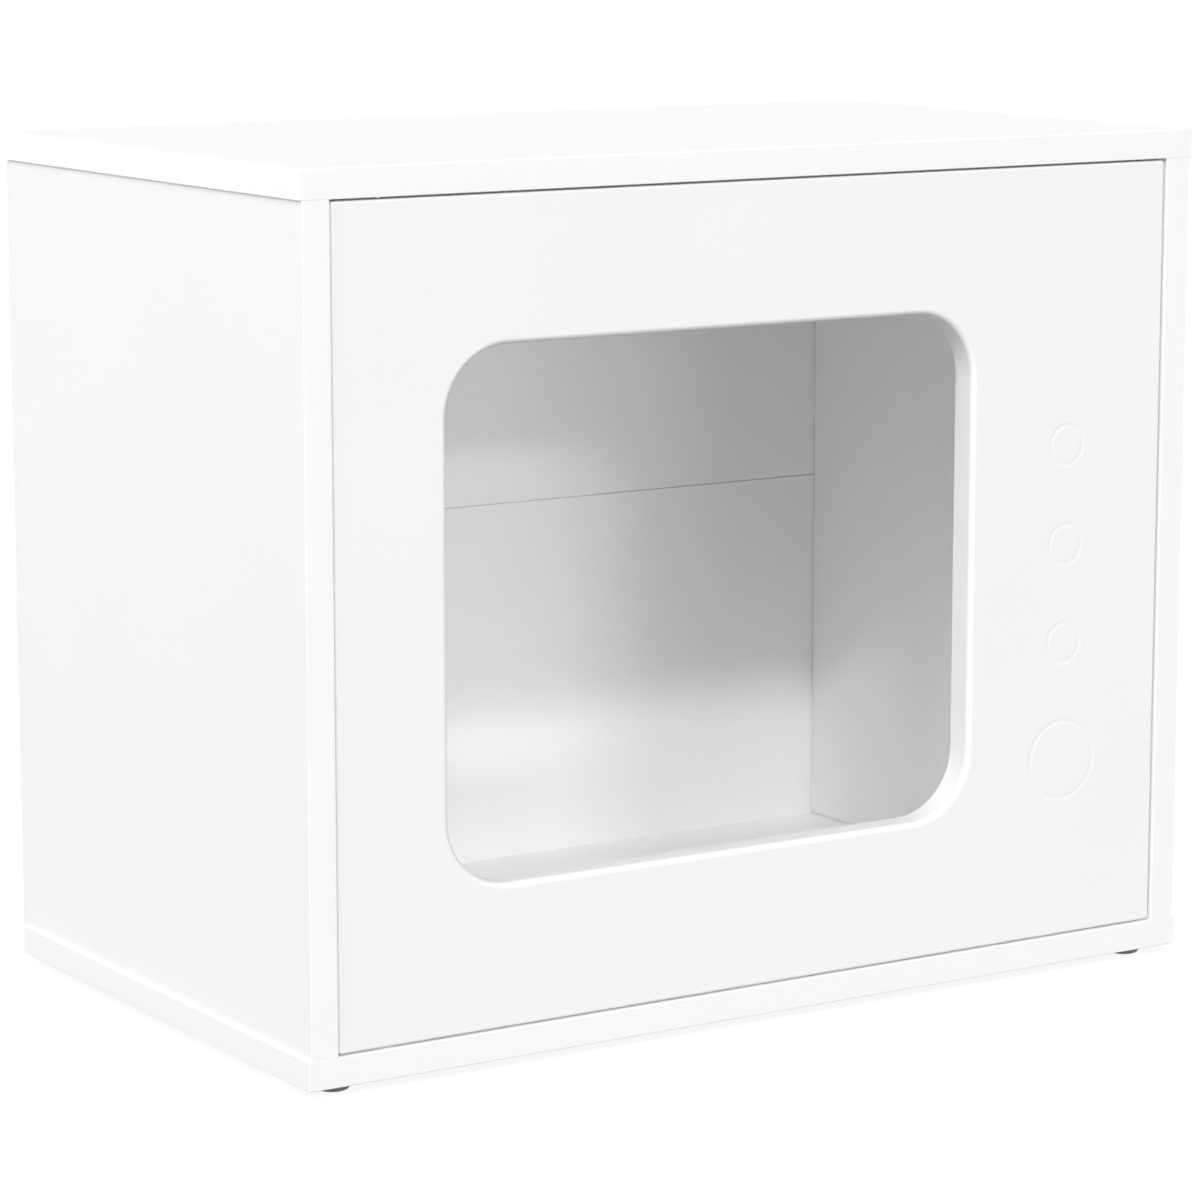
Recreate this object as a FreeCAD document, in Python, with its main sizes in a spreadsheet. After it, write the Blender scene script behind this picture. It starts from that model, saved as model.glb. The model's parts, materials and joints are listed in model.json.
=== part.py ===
# A cat house: a flat-pack cabinet of white boards whose front is a pivoting door with a rounded entrance.
# Millimetres. X runs along the width, -Y is the front, Z is up. The origin is on the floor, midway.
import FreeCAD, Part
import os
import re
import Sketcher
from enum import IntEnum
from FreeCAD import Placement, Rotation, Vector

SIZES = {
    # carcass boards
    "cabinet_width": 540,
    "board_depth": 320,
    "carcass_height": 445,
    "board_thickness": 15,
    "side_inset": 1.5,
    "edge_round": 0.5,
    # back boards
    "back_thickness": 3,
    "back_margin": 3,
    # door
    "door_thickness": 15,
    "door_gap": 1,
    "door_setback": 1,
    "door_round": 1.5,
    "hinge_stile": 62.5,
    "entrance_width": 317,
    "entrance_height": 267,
    "entrance_radius": 35,
    "entrance_round": 3,
    # engraved rings on the door, measured at the middle of their grooves
    "groove_width": 3.6,
    "groove_depth": 0.2,
    "small_ring": 21,
    "large_ring": 42,
    "small_ring_pitch": 53,
    "large_ring_pitch": 63.5,
    "top_ring_rise": 59,
    # pivot hinge
    "pivot_reach": 30,
    "pin_diameter": 4,
    "pin_chamfer": 0.5,
    "end_gap": 0.5,
    "bush_wall": 1.5,
    "bush_floor": 1.5,
    "door_bush_depth": 14,
    "running_gap": 0.05,
    "seat_gap": 0.02,
    # cams and bolts that hold the top, screws that hold the bottom, and dowels in both
    "blind_web": 5,
    "cam_diameter": 15,
    "cam_web": 2.5,
    "cam_gap": 0.1,
    "cam_setback": 24,
    "cam_margin": 45,
    "cam_lip": 2.5,
    "cross_length": 9,
    "cross_width": 2,
    "cross_depth": 2,
    "bolt_diameter": 6,
    "bolt_hole": 8,
    "bolt_neck": 4,
    "bolt_head": 6.4,
    "bolt_head_length": 6,
    "chamber_gap": 0.4,
    "base_screw": 5,
    "base_screw_neck": 7,
    "base_screw_head": 10,
    "base_screw_grip": 34,
    "base_screw_socket": 4,
    "base_screw_socket_depth": 3,
    "dowel_diameter": 8,
    "dowel_grip": 20,
    "dowel_offset": 48,
    "dowel_chamfer": 1,
    # nails in the back boards
    "nail_diameter": 1.6,
    "nail_head": 4,
    "nail_head_height": 0.8,
    "nail_grip": 15,
    "nail_inset": 60,
    # feet
    "foot_diameter": 18,
    "foot_height": 5,
    "foot_round": 1,
    "foot_from_side": 22,
    "foot_from_edge": 17,
    "foot_recess_depth": 2.8,
    "foot_screw": 3,
    "foot_screw_head": 6.5,
    "foot_screw_head_height": 2,
    "foot_screw_web": 3,
    # magnetic catch
    "catch_length": 58,
    "catch_depth": 14,
    "catch_height": 15,
    "catch_wall": 1.5,
    "catch_lug": 11,
    "catch_lug_height": 3,
    "magnet_length": 28,
    "magnet_width": 9,
    "magnet_thickness": 5,
    "magnet_gap": 0.1,
    "pole_thickness": 1,
    "pole_reach": 1,
    "strike_gap": 0.3,
    "strike_length": 40,
    "strike_width": 11,
    "strike_thickness": 1.5,
    "strike_sink_depth": 1.2,
    "small_screw": 3,
    "small_screw_head": 6,
    "small_screw_head_height": 1,
    "small_screw_web": 3.5,
    # how far a cutting shape stands proud of what it cuts
    "overrun": 1,
}

# places and sizes that follow from the sheet
OVERALL_DEPTH = "(board_depth + back_thickness + nail_head_height)"
FRONT = f"(-{OVERALL_DEPTH} / 2)"
REAR = f"({FRONT} + board_depth)"
SIDE_HEIGHT = "(carcass_height - 2 * board_thickness)"
FLOOR = "(foot_height + board_thickness)"
CEILING = "(foot_height + carcass_height - board_thickness)"
SIDE_OUTER = "(cabinet_width / 2 - side_inset)"
SIDE_INNER = f"({SIDE_OUTER} - board_thickness)"
SIDE_MIDDLE = "(side_inset + board_thickness / 2)"
DOOR_WIDTH = f"(2 * {SIDE_INNER} - 2 * door_gap)"
DOOR_HEIGHT = f"({SIDE_HEIGHT} - 2 * door_gap)"
DOOR_FRONT = f"({FRONT} + door_setback)"
DOOR_INNER = f"({DOOR_FRONT} + door_thickness)"
PIVOT_X = f"(-{SIDE_INNER} + pivot_reach)"
PIVOT_Y = f"({DOOR_FRONT} + door_thickness / 2)"
BLIND_DEPTH = "(board_thickness - blind_web)"
BUSH_DIAMETER = "(pin_diameter + 2 * bush_wall)"
CAM_DEPTH = "(board_thickness - cam_web)"
CAM_RADIUS = "(cam_diameter / 2 - cam_gap)"
BOLT_LEVEL = "(board_thickness / 2 - cam_web)"
CHAMBER_END = f"({CAM_RADIUS} - cam_lip)"
FRONT_CAM = "cam_margin"
REAR_CAM = "(board_depth - cam_margin)"
FRONT_DOWEL = "(cam_margin + dowel_offset)"
REAR_DOWEL = "(board_depth - cam_margin - dowel_offset)"
BACK_WIDTH = f"(2 * {SIDE_OUTER})"
BACK_HEIGHT = "(carcass_height / 2 - back_margin)"
MIDDLE_Z = "(foot_height + carcass_height / 2)"
PIVOT_FROM_FRONT = "(door_setback + door_thickness / 2)"
PIN_LENGTH = f"({BLIND_DEPTH} + door_gap + door_bush_depth - 2 * bush_floor - end_gap)"
BOARD_COLUMNS = (SIDE_MIDDLE, f"(cabinet_width - {SIDE_MIDDLE})")
SIDE_COLUMNS = tuple(f"({column} - cabinet_width / 2)" for column in BOARD_COLUMNS)
BOARD_NAILS = ("nail_inset", "(cabinet_width / 2)", "(cabinet_width - nail_inset)")
SIDE_NAILS = ("nail_inset", f"({SIDE_HEIGHT} / 2 - nail_inset)", f"({SIDE_HEIGHT} / 2 + nail_inset)",
              f"({SIDE_HEIGHT} - nail_inset)")
NAIL_HOLE = "(nail_diameter + 2 * seat_gap)"
DOWEL_HOLE = "(dowel_diameter + 2 * seat_gap)"
BOLT_THREAD_HOLE = "(bolt_diameter + 2 * seat_gap)"
BASE_SCREW_HOLE = "(base_screw + 2 * seat_gap)"
BASE_SCREW_SINK = "((base_screw_head - base_screw_neck) / 2)"
BUSH_HOLE = f"({BUSH_DIAMETER} + 2 * seat_gap)"
FOOT_HOLE = "(foot_screw + 2 * seat_gap)"
FOOT_GRIP = "(board_thickness - foot_screw_web)"
SMALL_SCREW_HOLE = "(small_screw + 2 * seat_gap)"
SMALL_SCREW_GRIP = "(board_thickness - small_screw_web)"
STRIKE_SCREW_GRIP = "(door_thickness - small_screw_web)"
MAGNET_LEVEL = "(catch_height - catch_wall - magnet_gap - pole_thickness - magnet_thickness / 2)"
CATCH_FRONT = f"({DOOR_INNER} + strike_thickness + strike_gap + pole_reach)"
CATCH_REAR = f"({CATCH_FRONT} + catch_depth)"
CATCH_MIDDLE = f"({CATCH_FRONT} + catch_depth / 2)"
CATCH_SCREW_LEVELS = (f"({MIDDLE_Z} - catch_length / 2 + catch_lug / 2)",
                      f"({MIDDLE_Z} + catch_length / 2 - catch_lug / 2)")
RINGS = (("top_ring", "small_ring", "top_ring_rise"),
         ("middle_ring", "small_ring", "(top_ring_rise - small_ring_pitch)"),
         ("low_ring", "small_ring", "(top_ring_rise - 2 * small_ring_pitch)"),
         ("large_ring", "large_ring", "(top_ring_rise - 2 * small_ring_pitch - large_ring_pitch)"))
# corners of a hexagon, as shares of its width across the flats
HEXAGON_SHARES = ((0.5, 0.2887), (0, 0.5774), (-0.5, 0.2887), (-0.5, -0.2887), (0, -0.5774), (0.5, -0.2887))
TOLERANCE = 1e-6

# turns of a piece's own frame into the cabinet's frame
UPRIGHT = Rotation()
UPSIDE_DOWN = Rotation(Vector(0, 1, 0), 180)
FACING_FRONT = Rotation(Vector(1, 0, 0), 90)
ON_LEFT_WALL = Rotation(Vector(0, 1, 0), Vector(0, 0, 1), Vector(1, 0, 0), "ZXY")
ON_RIGHT_WALL = Rotation(Vector(0, -1, 0), Vector(0, 0, 1), Vector(-1, 0, 0), "ZXY")
ON_DOOR_BACK = Rotation(Vector(-1, 0, 0), Vector(0, 0, 1), Vector(0, 1, 0), "ZXY")
HEAD_TO_REAR = Rotation(Vector(1, 0, 0), -90)
HEAD_TO_LEFT = Rotation(Vector(0, 1, 0), -90)

doc = FreeCAD.newDocument("cat_house")
sheet = doc.addObject("Spreadsheet::Sheet", "sizes")
for row, (alias, size) in enumerate(SIZES.items(), start=1):
    sheet.set(f"A{row}", alias)
    sheet.set(f"B{row}", str(size))
    sheet.setAlias(f"B{row}", alias)
doc.recompute()

gauge = doc.addObject("App::FeaturePython", "gauge")
gauge.addProperty("App::PropertyFloat", "Reading")
pieces = []


class Axis(IntEnum):
    """How a sketch numbers its own two axes. The one across starts at the sketch's origin."""
    ACROSS = -1
    UP = -2


class Point(IntEnum):
    """How a sketch numbers the points of a line or a circle."""
    START = 1
    END = 2
    CENTRE = 3


def formula(text):
    """An expression on the sheet's cells, from text that uses their plain names."""
    return re.sub(r"[a-z][a-z_]*", lambda word: "sizes." + word.group(), text)


def value(text):
    """The number that such an expression gives now, read off the gauge."""
    gauge.setExpression("Reading", formula(text))
    gauge.recompute()
    return gauge.Reading


def place(piece, x, y, z, turn=UPRIGHT):
    """Puts a piece's own origin at a place in the cabinet, turned as given."""
    piece.Placement = Placement(Vector(), turn)
    piece.setExpression("Placement.Base.x", formula(x))
    piece.setExpression("Placement.Base.y", formula(y))
    piece.setExpression("Placement.Base.z", formula(z))


def new_body(label, kept=True):
    """An empty body; a kept one becomes a file of its own, the others are only copied into groups."""
    body = doc.addObject("PartDesign::Body", label)
    body.Label = label
    if kept:
        pieces.append(body)
    return body


def new_sketch(body, name, role="XY_Plane", across="0", up="0", out="0"):
    """A sketch on one of the body's own planes, moved across, up and out along that plane's normal."""
    sketch = body.newObject("Sketcher::SketchObject", f"{body.Name}_{name}")
    plane = next(item for item in body.Origin.OriginFeatures if item.Role == role)
    sketch.AttachmentSupport = [(plane, "")]
    sketch.MapMode = "FlatFace"
    sketch.setExpression("AttachmentOffset.Base.x", formula(across))
    sketch.setExpression("AttachmentOffset.Base.y", formula(up))
    sketch.setExpression("AttachmentOffset.Base.z", formula(out))
    doc.recompute()
    return sketch


def set_distance(sketch, kind, geometry, point, text):
    """Holds a point of the sketch at a formula's distance from its origin."""
    if text == "0":
        axis = Axis.UP if kind == "DistanceX" else Axis.ACROSS
        sketch.addConstraint(Sketcher.Constraint("PointOnObject", geometry, point, axis))
        return
    held = Sketcher.Constraint(kind, Axis.ACROSS, Point.START, geometry, point, value(text))
    index = sketch.addConstraint(held)
    name = f"{kind}_{geometry}"
    sketch.renameConstraint(index, name)
    sketch.setExpression(f"Constraints.{name}", formula(text))


def draw_outline(sketch, points):
    """A closed outline of straight lines through points written as formulas."""
    corners = [Vector(value(x), value(y), 0) for x, y in points]
    first = sketch.GeometryCount
    for index, corner in enumerate(corners):
        sketch.addGeometry(Part.LineSegment(corner, corners[(index + 1) % len(corners)]), False)
    for index, (x, y) in enumerate(points):
        following = (index + 1) % len(points)
        joint = Sketcher.Constraint("Coincident", first + index, Point.END, first + following, Point.START)
        sketch.addConstraint(joint)
        set_distance(sketch, "DistanceX", first + index, Point.START, x)
        set_distance(sketch, "DistanceY", first + index, Point.START, y)


def draw_rectangle(sketch, width, height, left="0", low="0"):
    right = f"({left} + {width})"
    high = f"({low} + {height})"
    draw_outline(sketch, [(left, low), (right, low), (right, high), (left, high)])


def draw_circle(sketch, x, y, diameter):
    centre = Vector(value(x), value(y), 0)
    index = sketch.addGeometry(Part.Circle(centre, Vector(0, 0, 1), value(diameter) / 2), False)
    set_distance(sketch, "DistanceX", index, Point.CENTRE, x)
    set_distance(sketch, "DistanceY", index, Point.CENTRE, y)
    size = sketch.addConstraint(Sketcher.Constraint("Diameter", index, value(diameter)))
    name = f"diameter_{index}"
    sketch.renameConstraint(size, name)
    sketch.setExpression(f"Constraints.{name}", formula(diameter))


def pad(body, sketch, length):
    feature = body.newObject("PartDesign::Pad", f"{sketch.Name}_pad")
    feature.Profile = sketch
    feature.setExpression("Length", formula(length))
    doc.recompute()
    return feature


def pocket(body, sketch, depth, forward=False):
    """Cuts against the sketch's normal, or along it when forward, and makes sure that something was cut."""
    before = body.Shape.Volume
    feature = body.newObject("PartDesign::Pocket", f"{sketch.Name}_pocket")
    feature.Profile = sketch
    feature.Reversed = forward
    feature.setExpression("Length", formula(depth))
    doc.recompute()
    if body.Shape.Volume >= before:
        raise RuntimeError(f"{feature.Name} cuts nothing")
    return feature


def drill(body, name, centres, diameter, depth, role="XY_Plane", out="0", forward=False):
    """One pocket of round holes at centres written as formulas in the sketch's plane."""
    sketch = new_sketch(body, name, role, out=out)
    for x, y in centres:
        draw_circle(sketch, x, y, diameter)
    return pocket(body, sketch, depth, forward)


def round_edges(body, name, radius, wanted):
    """Rounds those edges of the body so far that the given test wants."""
    base = body.Tip
    names = [f"Edge{index}" for index, edge in enumerate(base.Shape.Edges, start=1) if wanted(edge)]
    feature = body.newObject("PartDesign::Fillet", f"{body.Name}_{name}")
    feature.Base = (base, names)
    feature.setExpression("Radius", formula(radius))
    doc.recompute()
    return feature


def runs_along(edge, direction):
    """Whether an edge is straight and parallel to a direction."""
    if not isinstance(edge.Curve, Part.Line):
        return False
    return abs(edge.tangentAt(edge.FirstParameter).dot(direction)) > 1 - TOLERANCE


def lies_at(edge, axis, level):
    """Whether the whole edge lies at one level along X, Y or Z."""
    low = getattr(edge.BoundBox, f"{axis}Min")
    high = getattr(edge.BoundBox, f"{axis}Max")
    return abs(low - level) < TOLERANCE and abs(high - level) < TOLERANCE


def turned_body(label, outline, kept=True):
    """A body turned about its own Z from an outline of (radius, height) points."""
    body = new_body(label, kept)
    sketch = new_sketch(body, "outline", "XZ_Plane")
    draw_outline(sketch, outline)
    feature = body.newObject("PartDesign::Revolution", f"{label}_turn")
    feature.Profile = sketch
    feature.ReferenceAxis = (sketch, ["V_Axis"])
    doc.recompute()
    return body


def turned_cut(body, name, across, along, outline):
    """Turns an outline of (radius, height) points about an upright axis of the body and cuts it away."""
    before = body.Shape.Volume
    sketch = new_sketch(body, name, "XZ_Plane", across=across, out=f"-({along})")
    draw_outline(sketch, outline)
    feature = body.newObject("PartDesign::Groove", f"{sketch.Name}_cut")
    feature.Profile = sketch
    feature.ReferenceAxis = (sketch, ["V_Axis"])
    doc.recompute()
    if body.Shape.Volume >= before:
        raise RuntimeError(f"{feature.Name} cuts nothing")
    return feature


def new_group(label, body, spots):
    """Separate copies of one body at (x, y, z, turn) spots, kept together as one piece."""
    copies = []
    for index, (x, y, z, turn) in enumerate(spots, start=1):
        copy = doc.addObject("App::Link", f"{label}_{index}")
        copy.LinkedObject = body
        place(copy, x, y, z, turn)
        copies.append(copy)
    group = doc.addObject("Part::Compound", label)
    group.Label = label
    group.Links = copies
    pieces.append(group)
    doc.recompute()
    return group


def board_rear_holes(body, name, columns):
    """Nail holes in the rear edge of a top or bottom board."""
    centres = [(x, "(board_thickness / 2)") for x in columns]
    drill(body, name, centres, NAIL_HOLE, "nail_grip", "XZ_Plane", "-board_depth", True)


def horizontal_board(label, pivot_from_left):
    """A top or bottom board, drawn with its inner face up: x from its own left edge, y from the front."""
    body = new_body(label)
    sketch = new_sketch(body, "outline")
    draw_rectangle(sketch, "cabinet_width", "board_depth")
    pad(body, sketch, "board_thickness")
    round_edges(body, "edges", "edge_round", lambda edge: True)
    dowels = [(x, y) for x in BOARD_COLUMNS for y in (FRONT_DOWEL, REAR_DOWEL)]
    drill(body, "dowel_holes", dowels, DOWEL_HOLE, BLIND_DEPTH, out="board_thickness")
    pivot = [(pivot_from_left, PIVOT_FROM_FRONT)]
    drill(body, "bush_hole", pivot, BUSH_HOLE, BLIND_DEPTH, out="board_thickness")
    board_rear_holes(body, "nail_holes", BOARD_NAILS)
    return body


def bottom_panel():
    body = horizontal_board("bottom_panel", f"({PIVOT_X} + cabinet_width / 2)")
    columns = ("foot_from_side", "(cabinet_width - foot_from_side)")
    rows = ("foot_from_edge", "(board_depth - foot_from_edge)")
    screws = [(x, y) for x in columns for y in rows]
    drill(body, "foot_holes", screws, FOOT_HOLE, FOOT_GRIP, forward=True)
    neck = "(base_screw_neck / 2 + seat_gap)"
    head = "(base_screw_head / 2 + seat_gap)"
    countersunk = [("0", "0"), (head, "0"), (neck, BASE_SCREW_SINK), (neck, "board_thickness"),
                   ("0", "board_thickness")]
    for side, x in zip(("left", "right"), BOARD_COLUMNS):
        for row, y in (("front", FRONT_CAM), ("rear", REAR_CAM)):
            turned_cut(body, f"{row}_{side}_screw_hole", x, y, countersunk)
    place(body, "-cabinet_width / 2", FRONT, "foot_height")


def top_panel():
    body = horizontal_board("top_panel", f"(cabinet_width / 2 - {PIVOT_X})")
    bolts = [(x, y) for x in BOARD_COLUMNS for y in (FRONT_CAM, REAR_CAM)]
    drill(body, "bolt_holes", bolts, BOLT_THREAD_HOLE, BLIND_DEPTH, out="board_thickness")
    place(body, "cabinet_width / 2", FRONT, "foot_height + carcass_height", UPSIDE_DOWN)


def side_panel(label, rear_edge, rear_forward):
    """A side board, drawn with its inner face up: x along the depth and y up from its lower end."""
    body = new_body(label)
    sketch = new_sketch(body, "outline")
    draw_rectangle(sketch, "board_depth", SIDE_HEIGHT)
    pad(body, sketch, "board_thickness")
    round_edges(body, "edges", "edge_round", lambda edge: runs_along(edge, Vector(0, 1, 0)))
    cams = [(x, f"({SIDE_HEIGHT} - cam_setback)") for x in (FRONT_CAM, REAR_CAM)]
    drill(body, "cam_pockets", cams, "cam_diameter", CAM_DEPTH, out="board_thickness")
    bolts = [(x, "(board_thickness / 2)") for x in (FRONT_CAM, REAR_CAM)]
    upper_end = f"-{SIDE_HEIGHT}"
    drill(body, "bolt_holes", bolts, "bolt_hole", "cam_setback", "XZ_Plane", upper_end, True)
    drill(body, "screw_holes", bolts, BASE_SCREW_HOLE, "base_screw_grip", "XZ_Plane")
    dowels = [(x, "(board_thickness / 2)") for x in (FRONT_DOWEL, REAR_DOWEL)]
    for end, out, forward in (("lower", "0", False), ("upper", upper_end, True)):
        drill(body, f"{end}_dowel_holes", dowels, DOWEL_HOLE, "dowel_grip + end_gap",
              "XZ_Plane", out, forward)
    nails = [(y, "(board_thickness / 2)") for y in SIDE_NAILS]
    drill(body, "nail_holes", nails, NAIL_HOLE, "nail_grip", "YZ_Plane", rear_edge, rear_forward)
    return body


def left_side_panel():
    body = side_panel("left_side_panel", "board_depth", False)
    place(body, f"-{SIDE_OUTER}", FRONT, FLOOR, ON_LEFT_WALL)


def right_side_panel():
    body = side_panel("right_side_panel", "0", True)
    screws = [(f"({REAR} - {CATCH_MIDDLE})", f"({level} - {FLOOR})") for level in CATCH_SCREW_LEVELS]
    drill(body, "catch_holes", screws, SMALL_SCREW_HOLE, SMALL_SCREW_GRIP, out="board_thickness")
    place(body, SIDE_OUTER, REAR, FLOOR, ON_RIGHT_WALL)


def back_panel(label, base, edge_nails, side_nails):
    """A thin back board, drawn as seen from the front, with the nails along one long edge and both ends."""
    body = new_body(label)
    sketch = new_sketch(body, "outline")
    draw_rectangle(sketch, BACK_WIDTH, BACK_HEIGHT)
    pad(body, sketch, "back_thickness")
    nails = [(f"({x} - side_inset)", edge_nails) for x in BOARD_NAILS]
    ends = ("(board_thickness / 2)", f"({BACK_WIDTH} - board_thickness / 2)")
    nails += [(x, y) for x in ends for y in side_nails]
    drill(body, "nail_holes", nails, NAIL_HOLE, "back_thickness", out="back_thickness")
    place(body, f"-{SIDE_OUTER}", f"{REAR} + back_thickness", base, FACING_FRONT)


def back_panels():
    edge = "(board_thickness / 2 - back_margin)"
    ends = ("(board_thickness + nail_inset - back_margin)", f"({BACK_HEIGHT} - nail_inset)")
    back_panel("back_panel_lower", "foot_height + back_margin", edge, ends)
    raised_ends = [f"({BACK_HEIGHT} - {y})" for y in ends]
    back_panel("back_panel_upper", MIDDLE_Z, f"({BACK_HEIGHT} - {edge})", raised_ends)


def door_panel():
    """The front, drawn as seen from the front: x from the hinge edge, y up and z out to the front face."""
    body = new_body("door_panel")
    sketch = new_sketch(body, "outline")
    draw_rectangle(sketch, DOOR_WIDTH, DOOR_HEIGHT)
    pad(body, sketch, "door_thickness")
    entrance = new_sketch(body, "entrance", out="door_thickness")
    sill = f"(({DOOR_HEIGHT} - entrance_height) / 2)"
    draw_rectangle(entrance, "entrance_width", "entrance_height", "hinge_stile", sill)
    pocket(body, entrance, "door_thickness")
    rim = (("X", 0), ("X", value(DOOR_WIDTH)), ("Y", 0), ("Y", value(DOOR_HEIGHT)))
    front = value("door_thickness")
    out = Vector(0, 0, 1)

    def on_rim(edge):
        return any(lies_at(edge, axis, level) for axis, level in rim)

    round_edges(body, "entrance_corners", "entrance_radius",
                lambda edge: runs_along(edge, out) and not on_rim(edge))
    round_edges(body, "entrance_edges", "entrance_round",
                lambda edge: lies_at(edge, "Z", front) and not on_rim(edge))
    round_edges(body, "rim_edges", "door_round",
                lambda edge: on_rim(edge) and (lies_at(edge, "Z", front) or runs_along(edge, out)))
    ring_x = f"((hinge_stile + entrance_width + {DOOR_WIDTH}) / 2)"
    for name, diameter, level in RINGS:
        inner = f"({diameter} / 2 - groove_width / 2)"
        outer = f"({diameter} / 2 + groove_width / 2)"
        groove = [(inner, "door_thickness"), (f"({diameter} / 2)", "(door_thickness - groove_depth)"),
                  (outer, "door_thickness"), (outer, "(door_thickness + overrun)"),
                  (inner, "(door_thickness + overrun)")]
        turned_cut(body, name, ring_x, f"({DOOR_HEIGHT} / 2 + {level})", groove)
    bush = [("(pivot_reach - door_gap)", "(door_thickness / 2)")]
    drill(body, "lower_bush_hole", bush, BUSH_HOLE, "door_bush_depth", "XZ_Plane")
    drill(body, "upper_bush_hole", bush, BUSH_HOLE, "door_bush_depth", "XZ_Plane", f"-{DOOR_HEIGHT}", True)
    strike = [(f"(2 * {SIDE_INNER} - {MAGNET_LEVEL} - door_gap)", f"({DOOR_HEIGHT} / 2)")]
    drill(body, "strike_hole", strike, SMALL_SCREW_HOLE, STRIKE_SCREW_GRIP, forward=True)
    place(body, f"-{SIDE_INNER} + door_gap", DOOR_INNER, f"{FLOOR} + door_gap", FACING_FRONT)


def bush_outline(depth, bore_gap):
    """Half the section of a cup that sits flush in its board: closed end at zero, open end at its depth."""
    bore = f"(pin_diameter / 2 + {bore_gap})"
    wall = f"({BUSH_DIAMETER} / 2)"
    return [("0", "0"), (wall, "0"), (wall, depth), (bore, depth), (bore, "bush_floor"), ("0", "bush_floor")]


def pivot_hinge():
    """Pins held in cups of the top and bottom boards, which the door turns on in cups of its own."""
    panel_cup = bush_outline(BLIND_DEPTH, "seat_gap")
    door_cup = bush_outline("door_bush_depth", "running_gap")
    radius = "(pin_diameter / 2)"
    waist = "(pin_diameter / 2 - pin_chamfer)"
    pin = [("0", "0"), (waist, "0"), (radius, "pin_chamfer"), (radius, f"({PIN_LENGTH} - pin_chamfer)"),
           (waist, PIN_LENGTH), ("0", PIN_LENGTH)]
    inner = "(pin_diameter / 2 + running_gap)"
    ring = f"({BUSH_DIAMETER} / 2)"
    washer = [(inner, "0"), (ring, "0"), (ring, "door_gap"), (inner, "door_gap")]
    spots = [
        ("lower_panel_bush", panel_cup, f"{FLOOR} - {BLIND_DEPTH}", UPRIGHT),
        ("upper_panel_bush", panel_cup, f"{CEILING} + {BLIND_DEPTH}", UPSIDE_DOWN),
        ("lower_door_bush", door_cup, f"{FLOOR} + door_gap + door_bush_depth", UPSIDE_DOWN),
        ("upper_door_bush", door_cup, f"{CEILING} - door_gap - door_bush_depth", UPRIGHT),
        ("lower_pivot_pin", pin, f"{FLOOR} - {BLIND_DEPTH} + bush_floor", UPRIGHT),
        ("upper_pivot_pin", pin, f"{CEILING} + {BLIND_DEPTH} - bush_floor", UPSIDE_DOWN),
        ("thrust_washer", washer, FLOOR, UPRIGHT),
    ]
    for label, outline, z, turn in spots:
        place(turned_body(label, outline), PIVOT_X, PIVOT_Y, z, turn)


def cam_bolts():
    shaft_end = f"({BLIND_DEPTH} + cam_setback - cam_diameter / 2)"
    shoulder = f"({BLIND_DEPTH} + cam_setback - {CHAMBER_END})"
    tip = f"({shoulder} + bolt_head_length)"
    outline = [("0", "0"), ("(bolt_diameter / 2)", "0"), ("(bolt_diameter / 2)", shaft_end),
               ("(bolt_neck / 2)", shaft_end), ("(bolt_neck / 2)", shoulder), ("(bolt_head / 2)", shoulder),
               ("(bolt_head / 2)", tip), ("0", tip)]
    bolt = turned_body("cam_bolt", outline, kept=False)
    spots = []
    for x in SIDE_COLUMNS:
        for y in (FRONT_CAM, REAR_CAM):
            spots.append((x, f"{FRONT} + {y}", f"{CEILING} + {BLIND_DEPTH}", UPSIDE_DOWN))
    new_group("cam_bolts", bolt, spots)


def cam_discs():
    """Locking cams: a chamber holds the bolt's head behind a lip, and a cross in the face takes a driver."""
    cam = new_body("cam_disc", kept=False)
    sketch = new_sketch(cam, "outline")
    draw_circle(sketch, "0", "0", f"(2 * {CAM_RADIUS})")
    height = f"({CAM_DEPTH} - cam_gap)"
    pad(cam, sketch, height)
    bolt = [("0", BOLT_LEVEL)]
    drill(cam, "chamber", bolt, "bolt_head + 2 * chamber_gap", "bolt_head_length + chamber_gap",
          "XZ_Plane", f"-{CHAMBER_END}", True)
    drill(cam, "neck_slot", bolt, "bolt_neck + 2 * chamber_gap", f"{CAM_RADIUS} + overrun", "XZ_Plane")
    for name, width, length in (("cross_bar", "cross_length", "cross_width"),
                                ("cross_post", "cross_width", "cross_length")):
        bar = new_sketch(cam, name, across=f"-{width} / 2", up=f"-{length} / 2", out=height)
        draw_rectangle(bar, width, length)
        pocket(cam, bar, "cross_depth")
    spots = []
    level = f"{CEILING} - cam_setback"
    bed = f"({SIDE_OUTER} - cam_web)"
    for y in (FRONT_CAM, REAR_CAM):
        spots.append((f"-{bed}", f"{FRONT} + {y}", level, ON_LEFT_WALL))
        spots.append((bed, f"{FRONT} + {y}", level, ON_RIGHT_WALL))
    new_group("cam_discs", cam, spots)


def base_screws():
    """Countersunk screws from below, through the bottom board into the ends of the side boards."""
    radius = "(base_screw / 2)"
    neck = "(base_screw_neck / 2)"
    face = "(base_screw_grip + board_thickness)"
    outline = [("0", "0"), (radius, f"(2 * {radius})"), (radius, "base_screw_grip"),
               (neck, "base_screw_grip"), (neck, f"({face} - {BASE_SCREW_SINK})"),
               ("(base_screw_head / 2)", face), ("0", face)]
    screw = turned_body("base_screw", outline, kept=False)
    socket = new_sketch(screw, "socket", out=face)
    corners = [(f"({x} * base_screw_socket)", f"({y} * base_screw_socket)") for x, y in HEXAGON_SHARES]
    draw_outline(socket, corners)
    pocket(screw, socket, "base_screw_socket_depth")
    spots = []
    for x in SIDE_COLUMNS:
        for y in (FRONT_CAM, REAR_CAM):
            spots.append((x, f"{FRONT} + {y}", f"{FLOOR} + base_screw_grip", UPSIDE_DOWN))
    new_group("base_screws", screw, spots)


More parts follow.
